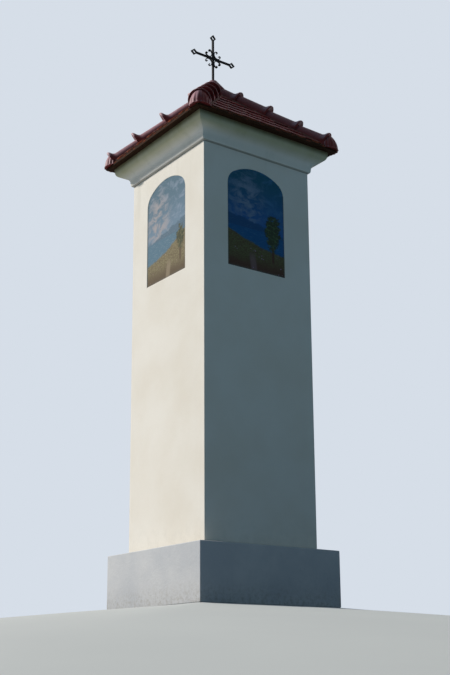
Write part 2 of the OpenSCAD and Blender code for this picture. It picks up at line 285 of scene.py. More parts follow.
class Rule(Nodes):
    """A Geometry Nodes tree with named inputs for its sizes."""

    def __init__(self, name, sizes):
        super().__init__(bpy.data.node_groups.new(name, "GeometryNodeTree"))
        face = self.tree.interface
        face.new_socket("shape", in_out="INPUT", socket_type="NodeSocketGeometry")
        self.keys = {
            size: face.new_socket(size, in_out="INPUT", socket_type="NodeSocketFloat").identifier
            for size in sizes
        }
        clay = face.new_socket("clay", in_out="INPUT", socket_type="NodeSocketMaterial")
        self.keys["clay"] = clay.identifier
        face.new_socket("made", in_out="OUTPUT", socket_type="NodeSocketGeometry")
        self.start = self.tree.nodes.new("NodeGroupInput")
        self.end = self.tree.nodes.new("NodeGroupOutput")

    def __getitem__(self, name):
        return Value(self, self.start.outputs[name])

    def chance(self, number, key):
        """A random share from 0 to 1 for each number, another for each key."""
        return self.node(
            "ShaderNodeTexWhiteNoise", {"noise_dimensions": "3D"},
            {"Vector": self.point(number, key, self["seed"])}, "Value",
        )

    def close(self, made):
        """Ends the tree with what it has made, as real geometry in clay."""
        real = self.node("GeometryNodeRealizeInstances", {}, {"Geometry": made})
        clad = self.node("GeometryNodeSetMaterial", {}, {"Geometry": real, "Material": self["clay"]})
        self.feed(self.end.inputs[0], clad)

    def make(self, shape, sizes):
        """The plain mesh that the tree makes of a shape."""
        thing = bpy.data.objects.new("shape", shape)
        bpy.context.collection.objects.link(thing)
        modifier = thing.modifiers.new("rule", "NODES")
        modifier.node_group = self.tree
        for size, number in sizes.items():
            modifier[self.keys[size]] = number
        graph = bpy.context.evaluated_depsgraph_get()
        made = bpy.data.meshes.new_from_object(
            thing.evaluated_get(graph), preserve_all_data_layers=True, depsgraph=graph,
        )
        bpy.data.objects.remove(thing)
        return made


# Making pieces

SHARP_ANGLE = math.radians(25)
FLAT_ANGLE = math.radians(0.5)


def wear(finish, thing):
    """Gives an object one finish."""
    thing.data.materials.clear()
    thing.data.materials.append(finish.material)


def blend_normals(mesh, angle):
    """Rounds the shading over edges below an angle. Broad faces outweigh narrow ones and look flat."""
    around = [[] for _ in mesh.vertices]
    for face in mesh.polygons:
        for vert in face.vertices:
            around[vert].append((face.normal.copy(), face.area))
    limit = math.cos(math.radians(angle))
    normals = []
    for face in mesh.polygons:
        for vert in face.vertices:
            mean = Vector()
            for normal, area in around[vert]:
                if normal.dot(face.normal) > limit:
                    mean += area * normal
            normals.append(mean.normalized())
    mesh.normals_split_custom_set(normals)


def add_piece(name, bm, finish, slot, *nodes, smooth=40, flat=False):
    """Adds the mesh as a finished piece that stands for the CAD nodes.

    Edges below the angle `smooth` look rounded, and `flat` keeps the broad faces beside them flat.
    """
    bmesh.ops.recalc_face_normals(bm, faces=bm.faces)
    mesh = bpy.data.meshes.new(name)
    bm.to_mesh(mesh)
    bm.free()
    mesh.shade_smooth()
    if flat:
        blend_normals(mesh, smooth)
    else:
        mesh.set_sharp_from_angle(angle=math.radians(smooth))
    piece = bpy.data.objects.new(name, mesh)
    bpy.context.collection.objects.link(piece)
    wear(finish, piece)
    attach(piece, "root")
    if nodes:
        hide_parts(*nodes)


def add_skin(bm, rings):
    """Adds a closed skin through rings of equally many points, with flat ends."""
    loops = [[bm.verts.new(point) for point in ring] for ring in rings]
    bm.faces.new(reversed(loops[0]))
    bm.faces.new(loops[-1])
    for first, second in zip(loops, loops[1:]):
        for k in range(len(first)):
            after = (k + 1) % len(first)
            bm.faces.new((first[k], first[after], second[after], second[k]))


def trim(bm, point, normal):
    """Cuts away what lies past a plane and closes the cut."""
    cut = bmesh.ops.bisect_plane(
        bm, geom=bm.verts[:] + bm.edges[:] + bm.faces[:],
        plane_co=point, plane_no=normal, clear_outer=True,
    )
    rim = [part for part in cut["geom_cut"] if isinstance(part, bmesh.types.BMEdge)]
    bmesh.ops.holes_fill(bm, edges=rim, sides=0)


def soften(bm, width, segments):
    """Rounds the sharp edges of a mesh."""
    sharp = [
        edge for edge in bm.edges
        if len(edge.link_faces) == 2 and edge.calc_face_angle() > SHARP_ANGLE
    ]
    bmesh.ops.bevel(
        bm, geom=sharp, offset=width, offset_type="OFFSET", segments=segments,
        profile=0.5, affect="EDGES", clamp_overlap=True,
    )


def copy_of(node):
    """A CAD piece's mesh with its points merged and its flat faces made whole."""
    bm = bmesh.new()
    bm.from_mesh(cad[node].data)
    bmesh.ops.remove_doubles(bm, verts=bm.verts, dist=1e-5)
    bmesh.ops.dissolve_limit(bm, angle_limit=FLAT_ANGLE, verts=bm.verts, edges=bm.edges)
    return bm


def add_softened(name, node, width, finish, slot, segments=2, swell=0.0):
    """Adds a CAD piece's copy with its sharp edges rounded, thicker by its swell at the sides."""
    bm = copy_of(node)
    soften(bm, width, segments)
    if swell:
        bm.normal_update()
        for vert in bm.verts:
            vert.co += swell * Vector((vert.normal.x, vert.normal.y, 0))
    add_piece(name, bm, finish, slot, node, smooth=50, flat=True)


# Finishes of the masonry

def plaster():
    """Cream wall paint over smooth plaster, floated by hand, with faint stains under the eaves,
    painted olive shade on the cove and lip, and a painted shade line under the band.
    """
    f = Finish("plaster", Specular_IOR_Level=0.3)
    broad = f.noise(1.6, 4, 0.55)
    runs = f.noise(3.0, 3, 0.6, at=f.stretched(3.5, 3.5, 0.22))
    grain = f.noise(260, 2, 0.6)
    float_marks = f.noise(9, 3, 0.6, at=f.stretched(1, 1, 0.6), distortion=0.6)
    colour = f.mix(broad.step(0.3, 0.75), srgb(236, 230, 219), srgb(229, 221, 207))
    under_cornice = f.z.step(CORNICE_FOOT - 0.746, CORNICE_FOOT + 0.054)
    stain = runs.step(0.52, 0.78) * under_cornice * 0.3
    colour = f.mix(stain, colour, srgb(196, 192, 178))
    # painted shade: the cove and lip under the eaves are darkened with an olive cast of bounced light
    painted_olive_shade = f.z.step(CORNICE_FOOT + 0.074, CORNICE_FOOT + 0.129) * (0.6 + 0.4 * runs)
    colour = f.mix(painted_olive_shade * 0.85, colour, srgb(166, 160, 104))
    # painted shade: the top of the lip is darkened where the boards overhang it
    painted_eave_shade = f.z.step(CORNICE_TOP - 0.059, CORNICE_TOP - 0.004) * (0.7 + 0.3 * runs)
    colour = f.mix(painted_eave_shade, colour, srgb(84, 78, 42))
    # painted shade: a thin dark line on the wall just under the band
    above_shade_line = f.z.step(CORNICE_FOOT + 0.007, CORNICE_FOOT + 0.002)
    shade_line = f.z.step(CORNICE_FOOT - 0.010, CORNICE_FOOT - 0.004) * above_shade_line
    colour = f.mix(shade_line * 0.45, colour, srgb(84, 78, 62))
    foot = f.z.step(PLINTH_TOP + 0.34, PLINTH_TOP) * f.noise(14, 5, 0.65).step(0.42, 0.7)
    colour = f.mix(foot * 0.22, colour, srgb(205, 200, 188))
    f.colour(colour)
    f.rough(0.74 + 0.14 * grain)
    f.relief(0.25 * grain + 0.7 * float_marks + 0.4 * f.noise(46, 4, 0.6), 0.0018)
    return f


def plinth_paint():
    """Light grey paint on smooth cement render, splashed at the foot."""
    f = Finish("plinth_paint", Specular_IOR_Level=0.35)
    broad = f.noise(2.2, 4, 0.6)
    patches = f.noise(11, 5, 0.6, distortion=0.4)
    grain = f.noise(190, 3, 0.65)
    colour = f.mix(broad.step(0.3, 0.7), srgb(203, 203, 203), srgb(188, 190, 193))
    colour = f.mix(patches.step(0.55, 0.8) * 0.4, colour, srgb(172, 175, 178))
    splash = f.z.step(0.22, 0.0) * f.noise(30, 6, 0.7).step(0.42, 0.66)
    colour = f.mix(splash * 0.5, colour, srgb(150, 144, 130))
    ledge = f.z.step(PLINTH_TOP - 0.03, PLINTH_TOP - 0.01) * patches.step(0.35, 0.65)
    colour = f.mix(ledge * 0.5, colour, srgb(160, 158, 150))
    f.colour(colour)
    f.rough(0.62 + 0.2 * grain)
    f.relief(0.5 * grain + 0.8 * f.noise(34, 4, 0.6), 0.0025)
    return f


# Finishes of the roof

# how far the way towards the sun runs along x, y and upwards
SUNWARD = (-0.53, 0.63, 0.56)


def glazed_clay(name, raw_ends, sheen_share, gloss):
    """Dark cherry-brown glaze over orange clay, each tile fired a little differently.

    Tiles with raw ends show bare clay at the eaves. Surfaces that face up and towards the lamp carry a
    pale painted sheen, and the other tiles' rims a painted highlight on the sunny side.
    """
    f = Finish(name, Specular_IOR_Level=0.07, Coat_Roughness=0.3)
    tint = f.attribute("tile_tint")
    firing = f.noise(26, 4, 0.6)
    specks = f.noise(420, 2, 0.6)
    glaze = f.mix(tint, srgb(118, 42, 40), srgb(88, 30, 31))
    glaze = f.mix(firing.step(0.42, 0.72) * 0.6, glaze, srgb(70, 24, 27))
    glaze = f.mix(specks.step(0.62, 0.72) * 0.5, glaze, srgb(52, 20, 21))
    facing_x, facing_y, facing_up = f.facing()
    # painted sheen: surfaces that face up and towards the lamp are painted paler pink, a highlight put
    # into the colour
    weathered_and_sunlit = (0.7 * facing_up - 0.7 * facing_x).step(0.45, 0.95)
    painted_sheen = (0.6 + 0.4 * f.noise(9, 5, 0.65, distortion=0.5).step(0.42, 0.7)) * weathered_and_sunlit
    glaze = f.mix(painted_sheen * sheen_share, glaze, srgb(206, 166, 174))
    shine = 1 - 0.5 * painted_sheen
    if raw_ends:
        upper_course = f.z.step(EAVE_TOP + 0.006, EAVE_TOP + 0.016)
        bare = facing_up.step(0.45, 0.3) * (1 - 0.85 * upper_course)
        clay = f.mix(f.noise(70, 4, 0.65).step(0.35, 0.7), srgb(156, 78, 50), srgb(104, 50, 38))
        clay = f.mix(f.noise(24, 3, 0.6).step(0.42, 0.66) * 0.75, clay, srgb(62, 36, 28))
        glaze = f.mix(bare, glaze, clay)
        shine = shine * (1 - bare)
        f.rough(0.52 + 0.14 * firing + 0.3 * bare)
    else:
        # painted highlight: the collars' rims are painted pale on the side that faces the lamp
        sun_x, sun_y, sun_up = SUNWARD
        sunny = (sun_x * facing_x + sun_y * facing_y + sun_up * facing_up).step(0.05, 0.4)
        glint_breakup = f.noise(40, 3, 0.6).step(0.35, 0.6)
        painted_rim_glint = f.attribute("rim_glint") * sunny * (0.6 + 0.4 * glint_breakup)
        glaze = f.mix(painted_rim_glint * 0.7, glaze, srgb(230, 196, 198))
        f.rough(0.42 + 0.14 * firing + 0.14 * painted_sheen)
    f.colour(glaze)
    f.coat(gloss * shine)
    f.relief(0.55 * f.noise(60, 3, 0.55) + 0.15 * specks, 0.0016)
    return f


def bedding():
    """Reddish mortar under the hip tiles."""
    f = Finish("bedding_mortar", Roughness=0.9, Specular_IOR_Level=0.2)
    lumps = f.noise(55, 5, 0.65)
    colour = f.mix(lumps.step(0.3, 0.7), srgb(96, 58, 50), srgb(128, 92, 80))
    colour = f.mix(f.noise(12, 4, 0.6).step(0.5, 0.75) * 0.6, colour, srgb(70, 52, 48))
    f.colour(colour)
    f.relief(lumps + 0.4 * f.noise(240, 2, 0.6), 0.004)
    return f


def rough_masonry():
    """Brick dust and mortar of the solid under the tiles."""
    f = Finish("rough_masonry", Roughness=0.92, Specular_IOR_Level=0.2)
    lumps = f.noise(40, 5, 0.65)
    f.colour(f.mix(lumps.step(0.35, 0.7), srgb(150, 112, 92), srgb(118, 92, 80)))
    f.relief(lumps, 0.006)
    return f


def stained_wood():
    """Dark brown stain on softwood boards, whose grain runs along the eaves."""
    f = Finish("stained_wood", Specular_IOR_Level=0.05)
    along_y = (abs(f.x) - abs(f.y)).over(0)
    length = f.x + (f.y - f.x) * along_y
    breadth = f.y + (f.x - f.y) * along_y
    grain_place = f.point(length * 0.06, breadth, f.z)
    grain = f.noise(230, 4, 0.6, at=grain_place, distortion=0.8)
    bands = f.noise(38, 3, 0.5, at=grain_place, distortion=1.2)
    colour = f.mix(grain.step(0.35, 0.7), srgb(62, 40, 26), srgb(42, 28, 19))
    colour = f.mix(bands.step(0.45, 0.7) * 0.5, colour, srgb(32, 21, 15))
    weathered_and_sunlit = f.noise(7, 4, 0.6).step(0.55, 0.8)
    f.colour(f.mix(weathered_and_sunlit * 0.35, colour, srgb(78, 60, 46)))
    f.rough(0.7 + 0.2 * grain)
    f.relief(grain + 0.5 * bands, 0.0015)
    return f


def black_iron():
    """Black paint on hammered iron, with a little rust at its edges."""
    f = Finish("black_iron", Specular_IOR_Level=0.1)
    hammered = f.cells(85, feature="SMOOTH_F1")
    rust = f.noise(34, 6, 0.7, distortion=0.6).step(0.6, 0.74)
    colour = f.mix(f.noise(60, 3, 0.6), srgb(4, 5, 10), srgb(9, 10, 15))
    f.colour(f.mix(rust * 0.35, colour, srgb(44, 26, 20)))
    f.rough(0.62 + 0.25 * rust)
    f.relief(0.6 * hammered + 0.5 * rust, 0.0016)
    return f


# Painted panels

SILL = panel_low.z
PANEL_HEIGHT = panel_high.z - panel_low.z
PANEL_HALF = (panel_high.x - panel_low.x) / 2
PANEL_SHIFT = -(panel_high.x + panel_low.x) / 2
PANEL_SETBACK = 0.004

# distance from a panel's middle to the right, as one looks at it
ACROSS = {
    "front": lambda f: f.x + PANEL_SHIFT,
    "right": lambda f: f.y + PANEL_SHIFT,
    "back": lambda f: PANEL_SHIFT - f.x,
    "left": lambda f: PANEL_SHIFT - f.y,
}

DUSK = {
    "sky_top": srgb(22, 86, 110), "sky_low": srgb(38, 92, 156), "cloud": srgb(58, 110, 152),
    "cloud_glow": srgb(122, 140, 162), "far": srgb(24, 74, 118), "water": srgb(20, 84, 134),
    "ripple": srgb(66, 122, 158), "meadow": srgb(86, 94, 62), "earth": srgb(62, 46, 38),
    "leaf": srgb(20, 40, 30), "leaf_light": srgb(62, 90, 60), "blossom": srgb(156, 128, 156),
    "path": srgb(118, 98, 100),
}
DAY = {
    "sky_top": srgb(78, 108, 124), "sky_low": srgb(112, 136, 156), "cloud": srgb(132, 148, 166),
    "cloud_glow": srgb(172, 160, 156), "far": srgb(86, 110, 126), "water": srgb(84, 116, 134),
    "ripple": srgb(132, 150, 160), "meadow": srgb(136, 126, 92), "earth": srgb(92, 76, 54),
    "leaf": srgb(60, 64, 42), "leaf_light": srgb(104, 102, 68), "blossom": srgb(176, 150, 140),
    "path": srgb(150, 134, 110),
}


def landscape(side, paints, seed, mirror, hill, tree_at, glow_at):
    """A plain landscape in oils: clouds, a far ridge, a lake and a meadow with flowers and a tree."""
    f = Finish("painted_panel_" + side, Specular_IOR_Level=0.15)
    u = ACROSS[side](f) / PANEL_HALF * mirror
    v = (f.z - SILL) / PANEL_HEIGHT
    spot = f.point(u, v * (PANEL_HEIGHT / PANEL_HALF), seed)
    waver = f.noise(2.4, 4, 0.55, at=spot) - 0.5
    ragged = f.noise(9, 4, 0.65, at=spot) - 0.5
    strokes = f.noise(16, 4, 0.7, at=f.node("ShaderNodeMapping", {}, {
        "Vector": spot, "Rotation": (0, 0, 0.5), "Scale": (1.0, 3.4, 1.0),
    }), distortion=0.7)

    # two depths of cloud with a bright place in them
    colour = f.mix(v.step(0.35, 0.95), paints["sky_low"], paints["sky_top"])
    billow = f.noise(2.6, 6, 0.62, at=f.stretched(1, 1.5, 1, at=spot), distortion=0.5)
    colour = f.mix(billow.step(0.46, 0.66) * 0.8, colour, paints["cloud"])
    glow_u, glow_v = glow_at
    away = ((u - glow_u) ** 2 + ((v - glow_v) * 2.2) ** 2) ** 0.5
    glow = away.step(0.9, 0.1) * billow.step(0.4, 0.62)
    colour = f.mix(glow * 0.85, colour, paints["cloud_glow"])

    # far ridge, lake and shore
    ridge = v + 0.10 * waver + 0.05 * ragged - 0.06 * u
    colour = f.mix(ridge.step(0.475, 0.455), colour, paints["far"])
    ridge_light = strokes.step(0.5, 0.7) * ridge.step(0.475, 0.455)
    colour = f.mix(ridge_light * 0.35, colour, paints["cloud"])
    lake = v.step(0.375 + hill * 0.2, 0.365 + hill * 0.2)
    colour = f.mix(lake, colour, paints["water"])
    ripples = f.noise(7, 3, 0.6, at=f.stretched(1, 7, 1, at=spot)).step(0.54, 0.68)
    colour = f.mix(ripples * lake * 0.5, colour, paints["ripple"])

    # meadow that climbs to one side, with a path and flowers
    shore = 0.20 + hill * (u * 0.5 + 0.5) ** 1.6
    below_shore = (v + 0.05 * waver + 0.03 * ragged - shore).step(0.012, -0.012)
    meadow = f.mix(strokes.step(0.4, 0.65), paints["meadow"], paints["earth"])
    meadow = f.mix((v + 0.1 * waver).step(0.16, 0.02), meadow, paints["earth"])
    turn = u - 0.1 - 0.35 * (v * 14).sine() * v
    path = abs(turn).step(0.14, 0.06) * (0.2 - v).step(0.0, 0.1)
    meadow = f.mix(path * 0.7, meadow, paints["path"])
    flowers = f.cells(9, at=spot).step(0.2, 0.12) * f.noise(3, 2, at=spot).step(0.48, 0.6)
    meadow = f.mix(flowers * 0.8, meadow, paints["blossom"])
    colour = f.mix(below_shore, colour, meadow)

    # ragged crown on a thin trunk
    tree_u, tree_v, crown = tree_at
    from_crown = (((u - tree_u) * 0.8) ** 2 + ((v - tree_v) * 1.3) ** 2) ** 0.5
    crown_mask = (from_crown + 0.32 * ragged + 0.12 * waver).step(crown, crown - 0.05)
    trunk = abs(u - tree_u + 0.05 * waver).step(0.05, 0.035)
    trunk = trunk * v.step(0.1, 0.13) * v.step(tree_v, tree_v - 0.05)
    colour = f.mix(trunk, colour, paints["earth"])
    leaves = f.mix(f.noise(12, 5, 0.7, at=spot).step(0.46, 0.66), paints["leaf"], paints["leaf_light"])
    colour = f.mix(crown_mask, colour, leaves)

    # brushwork, and dust that has settled along the sill and edges
    colour = f.mix(strokes.step(0.58, 0.78) * 0.2, colour, srgb(190, 186, 178))
    colour = f.mix(strokes.step(0.42, 0.24) * 0.35, colour, srgb(16, 24, 30))
    dust = abs(u).step(0.93, 1.0).most(v.step(0.03, 0.0)) * 0.45
    colour = f.mix(dust, colour, srgb(92, 92, 84))
    f.colour(colour)
    f.rough(0.62 + 0.2 * strokes)
    f.relief(strokes + 0.4 * ragged, 0.0008)
    return f


# Masonry

# half width and height of the run moulding, from the wall up to the boards
MOULDING = [
    (0.606, 4.0460), (0.6135, 4.0510), (0.6180, 4.0610), (0.6200, 4.0800), (0.6220, 4.0970),
    (0.6260, 4.1095), (0.6330, 4.1205), (0.6430, 4.1300), (0.6560, 4.1385), (0.6720, 4.1465),
    (0.6880, 4.1535), (0.7030, 4.1600), (0.7150, 4.1680), (0.7240, 4.1790), (0.7300, 4.1920),
    (0.7335, 4.2080), (0.7355, 4.2260), (0.7365, 4.2440),
]
MOULDING_ARRIS = 0.004
WALL_ARRIS = 0.004
PLINTH_ARRIS = 0.007


def quarter_turn(quarter):
    """Turns a thing made for the front to another side."""
    return Matrix.Rotation(quarter * math.pi / 2, 4, "Z")


def square_ring(half, z):
    """Square of points at one height, its corners just rounded."""
    ring = []
    middle = half - MOULDING_ARRIS
    for quarter in range(4):
        for k in range(4):
            a = math.radians(30 * k - 90)
            x = middle + MOULDING_ARRIS * math.cos(a)
            y = -middle + MOULDING_ARRIS * math.sin(a)
            ring.append(quarter_turn(quarter) @ Vector((x, y, z)))
    return ring


def add_cornice(finish):
    """Band, cove and lip in one smooth moulding, as the plasterer's template runs it."""
    bm = bmesh.new()
    add_skin(bm, [square_ring(half, z) for half, z in MOULDING])
    add_piece(
        "run_cornice", bm, finish, "plaster", "cornice_band", "cornice_cove", smooth=35, flat=True,
    )


def add_panel(side, finish):
    """A painted board that stands almost flush with the wall."""
    node = "painting_" + side
    bm = copy_of(node)
    level = 0 if side in ("left", "right") else 1
    for vert in bm.verts:
        if abs(vert.co[level]) > PILLAR_HALF - 0.02:
            vert.co[level] = math.copysign(PILLAR_HALF - PANEL_SETBACK, vert.co[level])
    add_piece("painted_board_" + side, bm, finish, node, node, smooth=30)


wall = plaster()
add_softened("plastered_pillar", "pillar", WALL_ARRIS, wall, "plaster")
add_cornice(wall)
add_softened("painted_plinth", "plinth", PLINTH_ARRIS, plinth_paint(), "plinth_paint", segments=3)
wear(rough_masonry(), cad["roof_core"])

# paints, seed, mirror, the meadow's climb, the crown's place and size and the bright place
PANELS = {
    "front": (DUSK, 3.1, -1, 0.16, (-0.60, 0.42, 0.24), (0.35, 0.70)),
    "right": (DAY, 7.7, -1, 0.22, (0.60, 0.36, 0.20), (-0.5, 0.66)),
    "back": (DUSK, 12.4, 1, 0.12, (-0.55, 0.44, 0.22), (0.3, 0.7)),
    "left": (DAY, 21.9, 1, 0.20, (0.74, 0.34, 0.16), (-0.45, 0.62)),
}
for side, recipe in PANELS.items():
    add_panel(side, landscape(side, *recipe))


# Boards under the eaves

BOARD_WIDTH = 0.14
BOARD_JOINT = 0.0015
BOARD_ARRIS = 0.002
BUTT_JOINTS = (0.11, -0.17, 0.08, -0.05)
FILLET_HEIGHT = 0.011
FILLET_WIDTH = 0.05
FILLET_SETBACK = 0.004
FILLET_LIFT = 0.0004
FILLET_JOINT = 0.001


def add_boards():
    """Two boards end to end on each side, mitred at the corners, with a thin fillet above them."""
    bm = bmesh.new()
    outer, inner = BOARDS_HALF, BOARDS_HALF - BOARD_WIDTH
    low, high = boards_low.z, boards_high.z
    for quarter, split_at in enumerate(BUTT_JOINTS):
        turn = quarter_turn(quarter)
        left_half = [
            (-outer + BOARD_JOINT, -outer), (split_at - BOARD_JOINT, -outer),
            (split_at - BOARD_JOINT, -inner), (-inner + BOARD_JOINT, -inner),
        ]
        right_half = [
            (split_at + BOARD_JOINT, -outer), (outer - BOARD_JOINT, -outer),
            (inner - BOARD_JOINT, -inner), (split_at + BOARD_JOINT, -inner),
        ]
        for outline in (left_half, right_half):
            add_skin(bm, [[turn @ Vector((x, y, z)) for x, y in outline] for z in (low, high)])
        fillet = [
            (FILLET_JOINT - outer, FILLET_SETBACK - outer),
            (outer - FILLET_JOINT, FILLET_SETBACK - outer),
            (outer - FILLET_WIDTH, FILLET_WIDTH - outer),
            (FILLET_WIDTH - outer, FILLET_WIDTH - outer),
        ]
        add_skin(bm, [
            [turn @ Vector((x, y, high + lift)) for x, y in fillet]
            for lift in (FILLET_LIFT, FILLET_HEIGHT)
        ])
    soften(bm, BOARD_ARRIS, 2)
    add_piece(
        "mitred_eaves_boards", bm, stained_wood(), "eaves_boards", "eaves_boards",
        smooth=50, flat=True,
    )


add_boards()


# Roof tiles

COURSES = 7
COURSE_STEP = 0.014
TILE_COLUMNS = 11
TILE_PITCH = 2 * EAVE / 9
TILE_WIDTH = TILE_PITCH - 0.0032
TILE_LENGTH = 0.36
TILE_DROP = 0.045
TILE_THICK = 0.0105
TILE_EDGE = 0.0025
TAIL_STEPS = 5
TILE_SWAY, TILE_ROLL, TILE_NOD = 0.012, 0.014, 0.006
# how far the course under the eaves lies below and behind the first
UNDER_DROP, UNDER_SETBACK = 0.0195, 0.003
FACE_GAP = 0.001


def tile_shape():
    """A flat tile with a round tail at the origin, running uphill along Y, its back at z 0."""
    half = TILE_WIDTH / 2
    radius = (half ** 2 + TILE_DROP ** 2) / (2 * TILE_DROP)
    reach = math.asin(half / radius)

    def outline(inset):
        tail = [
            (
                (radius - inset) * math.sin(reach * k / TAIL_STEPS),
                radius - (radius - inset) * math.cos(reach * k / TAIL_STEPS),
            )
            for k in range(-TAIL_STEPS, TAIL_STEPS + 1)
        ]
        return tail + [(half - inset, TILE_LENGTH), (inset - half, TILE_LENGTH)]

    bm = bmesh.new()
    add_skin(bm, [
        [Vector((x, y, z)) for x, y in outline(inset)]
        for inset, z in ((TILE_EDGE, 0), (0, -TILE_EDGE), (0, -TILE_THICK))
    ])
    bmesh.ops.recalc_face_normals(bm, faces=bm.faces)
    mesh = bpy.data.meshes.new("tile_shape")
    bm.to_mesh(mesh)
    bm.free()
    return mesh


def tile_rule():
    """Lays courses of tiles up one roof face, over a course that lies under the eaves."""
    rule = Rule("tile_rule", (
        "columns", "courses", "pitch", "gauge", "rise", "eave", "eave_top", "tilt",
        "under_drop", "eave_thickening", "unevenness", "seed",
    ))
    columns = rule["columns"]
    index = rule.node("GeometryNodeInputIndex", {}, {})
    row = (index / columns + 0.0001).floor()
    column = index - row * columns
    course = row - 1
    up = course.most(0)
    under = 1 - row.least(1)
    stagger = (row % 2 - 1) * -0.5
    slip = rule.chance(index, 1) * rule["unevenness"]
    x = (column - (columns - 1) * 0.5 + stagger) * rule["pitch"]
    y = up * rule["gauge"] - rule["eave"] + slip + under * UNDER_SETBACK
    z = up * rule["rise"] + rule["eave_top"] - under * rule["under_drop"] - slip * 0.4
    points = rule.node("GeometryNodePoints", {}, {
        "Count": columns * (rule["courses"] + 1), "Position": rule.point(x, y, z),
    })
    sway = (rule.chance(index, 2) - 0.5) * TILE_SWAY
    roll = (rule.chance(index, 3) - 0.5) * TILE_ROLL
    nod = (rule.chance(index, 4) - 0.5) * TILE_NOD
    thick = 1 + rule["eave_thickening"] * (1 - up.least(1))
    laid = rule.node("GeometryNodeInstanceOnPoints", {}, {
        "Points": points, "Instance": rule["shape"],
        "Rotation": rule.point(rule["tilt"] + nod, roll, sway),
        "Scale": rule.point(1.0, 1.0, thick),
    })
    tinted = rule.node(
        "GeometryNodeStoreNamedAttribute", {"data_type": "FLOAT", "domain": "INSTANCE"},
        {"Geometry": laid, "Name": "tile_tint", "Value": rule.chance(index, 5)},
    )
    rule.close(tinted)
    return rule


def peak_from(side):
    """The peak's offset across and behind the pillar's axis, seen from a side."""
    x, y = PEAK.x, PEAK.y
    return {"front": (x, y), "right": (y, -x), "back": (-x, -y), "left": (-y, x)}[side]


def add_tiled_faces(clay):
    """Lays the tiles of each face and cuts them along the hips."""
    rule, shape = tile_rule(), tile_shape()
    for quarter, side in enumerate(SIDES):
        aside, behind = peak_from(side)
        gauge = (EAVE + behind) / COURSES
        rise = RISE / COURSES
        mesh = rule.make(shape, {
            "columns": TILE_COLUMNS, "courses": COURSES, "pitch": TILE_PITCH, "gauge": gauge,
            "rise": rise, "eave": EAVE, "eave_top": EAVE_TOP,
            "tilt": math.atan2(rise - COURSE_STEP, gauge), "under_drop": UNDER_DROP,
            "eave_thickening": 0.4, "unevenness": 0.004, "seed": 31.0 + quarter,
            "clay": clay.material,
        })
        bm = bmesh.new()
        bm.from_mesh(mesh)
        tip = Vector((aside, behind, 0))
        for hand in (-1, 1):
            corner = Vector((hand * EAVE, -EAVE, 0))
            along = tip - corner
            past = Vector((hand * along.y, -hand * along.x, 0)).normalized()
            trim(bm, corner - FACE_GAP * past, past)
        bm.transform(quarter_turn(quarter))
        add_piece("tiles_" + side, bm, clay, "roof_tiles", "roof_face_" + side, smooth=30)


tile_clay = glazed_clay("tile_clay", True, 0.03, 0.03)
hip_clay = glazed_clay("hip_clay", False, 0.75, 0.10)
add_tiled_faces(tile_clay)


# Hips

HIP_TILES = 3
# distance up the hip to the first collar's rim, and from rim to rim
HIP_START, HIP_GAUGE = 0.103, 0.338
# how much less the first tile shows, and how far each lies under the next
HIP_SHORT, HIP_LAP = 0.033, 0.040
# how far the tiles' axis lies under the hip's line
HIP_SINK = 0.051
HIP_WIDE, HIP_NARROW = 0.0938, 0.078
HIP_SWAY = 0.002
SHORTEST_HIP = math.hypot(EAVE + PEAK.x, EAVE + PEAK.x, RISE)
SECTION_SWEEP = math.radians(130)
SECTION_POINTS = 45
BARREL_PLACES = (0.14, 0.20, 0.26, 0.32)

# distance uphill from the rim, lift off the tile's axis and radius
COLLAR = [
    (0.014, 0.002, 0.0850), (0.002, 0.029, 0.0900), (0.000, 0.032, 0.0960), (0.001, 0.033, 0.1000),
    (0.005, 0.034, 0.1020), (0.014, 0.034, 0.1020), (0.022, 0.032, 0.1005), (0.029, 0.027, 0.0985),
    (0.036, 0.019, 0.0970), (0.044, 0.011, 0.0958), (0.054, 0.005, 0.0950), (0.065, 0.001, 0.0943),
    (0.078, 0.000, HIP_WIDE),
]
# how far each hip's collars sit from their set distance
COLLAR_SLIP = {"near": -0.008, "right": -0.003, "back": -0.004, "left": -0.012}
# how much higher each tile is bedded at its foot and at its head
BEDDED = {
    "near": ((0.0, 0.0), (0.001, 0.002), (0.0, 0.001)),
    "right": ((0.012, 0.008), (0.005, 0.013), (0.013, 0.026)),
    "back": ((0.001, 0.0), (0.0, 0.002), (0.002, 0.001)),
    "left": ((0.0, 0.002), (0.002, 0.0), (0.001, 0.001)),
}
# how much further each hip's collars stand out than their set rise
FLARE = {
    "near": (1.0, 1.0, 1.0, 1.0), "right": (1.0, 0.9, 0.85, 1.0), "back": (1.0, 1.0, 1.0, 1.0),
    "left": (1.4, 1.8, 1.8, 1.6),
}
# rings of the collar that make its rim, and the distance at which the barrel begins
RIM_RINGS = range(1, 7)
SHANK = COLLAR[-1][0]


